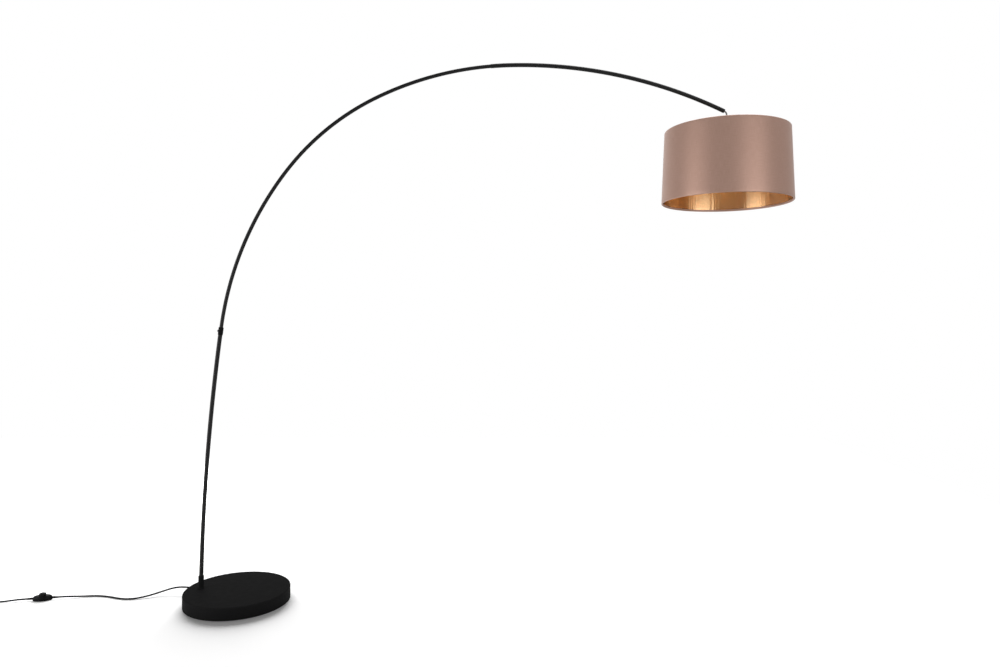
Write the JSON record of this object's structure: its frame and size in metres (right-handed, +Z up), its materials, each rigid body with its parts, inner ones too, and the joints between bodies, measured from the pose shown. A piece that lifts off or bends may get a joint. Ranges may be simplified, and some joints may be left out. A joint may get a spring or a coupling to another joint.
{
  "type": "arc floor lamp",
  "caption": "Arc floor lamp: slim bent tube rising from a round weighted base, drum shade hanging from its tip, lead with foot switch.",
  "frame": {"origin": "middle of the round base on the floor, under the felt", "axes": "+X from the base towards the hanging shade, +Y to the lamp's back as the picture sees it, +Z up"},
  "size_m": [3.2722, 0.5, 2.109],
  "materials": {
    "black_metal": "satin black powder coat",
    "cast_ballast": "rough cast",
    "plate_steel": "black primer",
    "zinc_steel": "zinc plated",
    "felt": "pressed felt",
    "black_plastic": "moulded",
    "black_rubber": "moulded",
    "terminal_plastic": "moulded",
    "grey_cable": "clear sheathed cable",
    "black_lead": "smooth sheath",
    "grip_plastic": "moulded",
    "holder_plastic": "moulded",
    "holder_ceramic": "unglazed",
    "contact_brass": "stamped",
    "opal_glass": "opal",
    "bulb_metal": "rolled thread",
    "shade_cloth": "fine plain weave",
    "copper_foil": "metallic copper film",
    "ring_wire": "bright wire",
    "switch_plastic": "moulded",
    "button_plastic": "moulded",
    "tie_plastic": "strap",
    "plug_plastic": "moulded",
    "pin_metal": "nickel plated"
  },
  "bodies": {
    "stand": {"arm_cable": "grey_cable", "ballast": "cast_ballast", "base_cover": "black_metal", "base_lead": "black_lead", "base_plate": "plate_steel", "base_plate_screws": "zinc_steel", "coil_tie": "tie_plastic", "cord_coil": "black_lead", "cord_gland": "black_rubber", "end_tube": "black_metal", "end_tube_grub_screw": "zinc_steel", "felt_pad": "felt", "foot_grub_screw": "zinc_steel", "foot_nut": "zinc_steel", "foot_socket": "black_metal", "foot_washer": "zinc_steel", "joint_clamp_screw": "black_metal", "joint_collar": "black_metal", "lower_tube": "black_metal", "mains_lead": "black_lead", "middle_tube": "black_metal", "plug_body": "plug_plastic", "plug_lead": "black_lead", "plug_pins": "pin_metal", "plug_relief": "black_rubber", "plug_tail": "black_lead", "switch_base": "switch_plastic", "switch_contacts": "contact_brass", "switch_relief_base_side": "black_rubber", "switch_relief_plug_side": "black_rubber", "switch_screws": "zinc_steel", "switch_spring": "zinc_steel", "switch_top": "switch_plastic", "terminal_block": "terminal_plastic", "tip_bush": "black_plastic"},
    "cable": {"pendant_cable": "grey_cable"},
    "holder": {"cord_grip": "grip_plastic", "holder_cap": "holder_plastic", "holder_body": "holder_plastic", "holder_insert": "holder_ceramic", "holder_contact": "contact_brass", "shade_clamp_ring": "holder_plastic", "bulb_globe": "opal_glass", "bulb_cap": "bulb_metal"},
    "shade": {"shade_fabric": "shade_cloth", "shade_lining": "copper_foil", "shade_bottom_ring": "ring_wire", "shade_spider": "ring_wire"},
    "button": {"switch_button": "button_plastic"}
  },
  "joints": [
    {"name": "cable_swing", "type": "hinge", "parent": "stand", "child": "cable", "pos_m": [1.91728, 0, 1.90359], "axis": [0, 1, 0], "range_deg": [-20, 20]},
    {"name": "shade_tilt", "type": "hinge", "parent": "cable", "child": "holder", "pos_m": [1.91728, 0, 1.87835], "axis": [1, 0, 0], "range_deg": [-15, 15]},
    {"name": "shade_turn", "type": "hinge", "parent": "holder", "child": "shade", "pos_m": [1.91728, 0, 1.828], "axis": [0, 0, 1], "continuous": true},
    {"name": "button_press", "type": "slide", "parent": "stand", "child": "button", "axis": [0, 0, -1], "range_m": [0, 0.003], "stiffness_N_per_m": 600, "springref_m": -0.002, "deforming": ["switch_spring"]}
  ]
}
